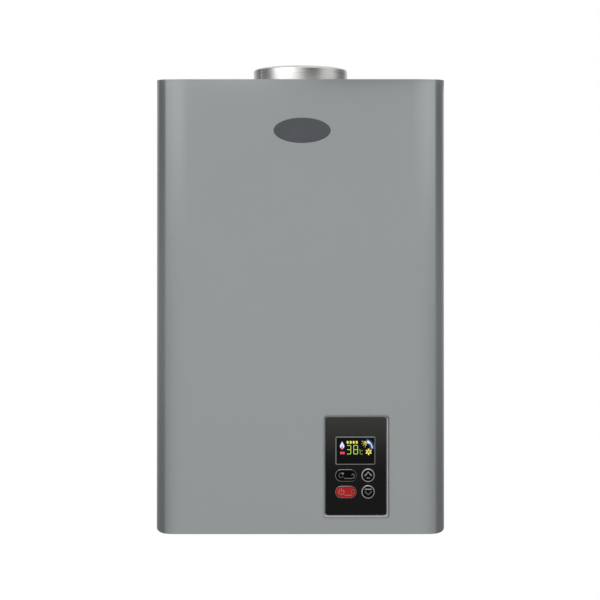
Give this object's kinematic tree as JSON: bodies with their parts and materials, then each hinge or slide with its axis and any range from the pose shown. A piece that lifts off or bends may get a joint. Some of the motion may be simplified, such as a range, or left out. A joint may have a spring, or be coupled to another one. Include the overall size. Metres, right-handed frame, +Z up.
{
  "type": "tankless gas water heater",
  "caption": "Wall-hung tankless gas water heater: folded steel casing, round flue collar, lit control panel with push buttons, fan, burner and heat exchanger inside.",
  "frame": {"origin": "midway between the two wall slots, on the wall", "axes": "+Z up, +Y into the wall, so the front looks along -Y; +X to the right as seen from the front"},
  "size_m": [0.381, 0.1532, 0.6352],
  "materials": {
    "cover_paint": "satin powder coat",
    "zinc_sheet": "galvanised",
    "stainless": "brushed",
    "badge_metal": "satin",
    "silver_trim": "satin",
    "black_gloss": "gloss",
    "red_gloss": "gloss",
    "lens": "smoked",
    "black_plastic": "matt",
    "circuit_board": "lacquered",
    "seal_rubber": "matt",
    "copper": "bare",
    "brass": "turned",
    "cast_alloy": "cast",
    "coil_wrap": "matt",
    "steel": "ground",
    "wheel_alloy": "pressed",
    "motor_shell": "satin",
    "ceramic": "glazed",
    "turbine_plastic": "moulded"
  },
  "bodies": {
    "heater": {"back_panel": "zinc_sheet", "badge_plate": "badge_metal", "base_plate": "zinc_sheet", "burner_bars": "steel", "burner_frame": "zinc_sheet", "cable_gland": "black_plastic", "cold_pipe": "copper", "collar_seal": "seal_rubber", "control_board": "circuit_board", "control_box": "black_plastic", "control_lid": "black_plastic", "core_brackets": "zinc_sheet", "display_board": "circuit_board", "display_lens": "lens", "display_module": "black_plastic", "drain_plug": "coil_wrap", "electrodes": "ceramic", "exchanger_fins": "copper", "exchanger_shell": "copper", "exchanger_tubes": "copper", "exhaust_hood": "zinc_sheet", "fan_motor": "motor_shell", "fan_scroll": "zinc_sheet", "flap_pin": "steel", "flow_sensor": "black_plastic", "flue_collar": "stainless", "front_cover": "cover_paint", "gas_inlet": "brass", "gas_manifold": "cast_alloy", "gas_riser": "cast_alloy", "gas_valve": "cast_alloy", "hot_pipe": "copper", "igniter": "black_plastic", "injectors": "brass", "key_switches": "black_plastic", "outlet_box": "zinc_sheet", "outlet_lid": "zinc_sheet", "overheat_cutout": "steel", "panel_bezel": "silver_trim", "panel_fascia": "black_gloss", "panel_housing": "black_plastic", "pressure_switch": "black_plastic", "top_plate": "zinc_sheet", "valve_coils": "coil_wrap", "water_headers": "copper", "water_inlet": "brass", "water_outlet": "brass"},
    "mode_button": {"mode_button": "black_gloss"},
    "up_button": {"up_button": "black_gloss"},
    "power_button": {"power_button": "red_gloss"},
    "down_button": {"down_button": "black_gloss"},
    "fan_rotor": {"fan_wheel": "wheel_alloy", "fan_shaft": "steel"},
    "backdraught_flap": {"backdraught_flap": "steel"},
    "flow_turbine": {"flow_turbine": "turbine_plastic"},
    "safety_plunger": {"safety_plunger": "steel"},
    "main_plunger": {"main_plunger": "steel"}
  },
  "joints": [
    {"name": "mode_press", "type": "slide", "parent": "heater", "child": "mode_button", "axis": [0, 1, 0], "range_m": [0, 0.0006], "stiffness_N_per_m": 1000},
    {"name": "up_press", "type": "slide", "parent": "heater", "child": "up_button", "axis": [0, 1, 0], "range_m": [0, 0.0006], "stiffness_N_per_m": 1000},
    {"name": "power_press", "type": "slide", "parent": "heater", "child": "power_button", "axis": [0, 1, 0], "range_m": [0, 0.0006], "stiffness_N_per_m": 1000},
    {"name": "down_press", "type": "slide", "parent": "heater", "child": "down_button", "axis": [0, 1, 0], "range_m": [0, 0.0006], "stiffness_N_per_m": 1000},
    {"name": "fan_spin", "type": "hinge", "parent": "heater", "child": "fan_rotor", "pos_m": [-0.0525, -0.061, -0.065], "axis": [0, 1, 0], "continuous": true},
    {"name": "flap_lift", "type": "hinge", "parent": "heater", "child": "backdraught_flap", "pos_m": [0, -0.0333, 0.014], "axis": [-1, 0, 0], "range_deg": [0, 60]},
    {"name": "turbine_spin", "type": "hinge", "parent": "heater", "child": "flow_turbine", "pos_m": [0.13, -0.075, -0.501], "axis": [0, 0, 1], "continuous": true},
    {"name": "safety_lift", "type": "slide", "parent": "heater", "child": "safety_plunger", "axis": [0, 0, 1], "range_m": [0, 0.003], "stiffness_N_per_m": 300, "springref_m": -0.005},
    {"name": "main_lift", "type": "slide", "parent": "heater", "child": "main_plunger", "axis": [0, 0, 1], "range_m": [0, 0.003], "stiffness_N_per_m": 300, "springref_m": -0.005}
  ]
}
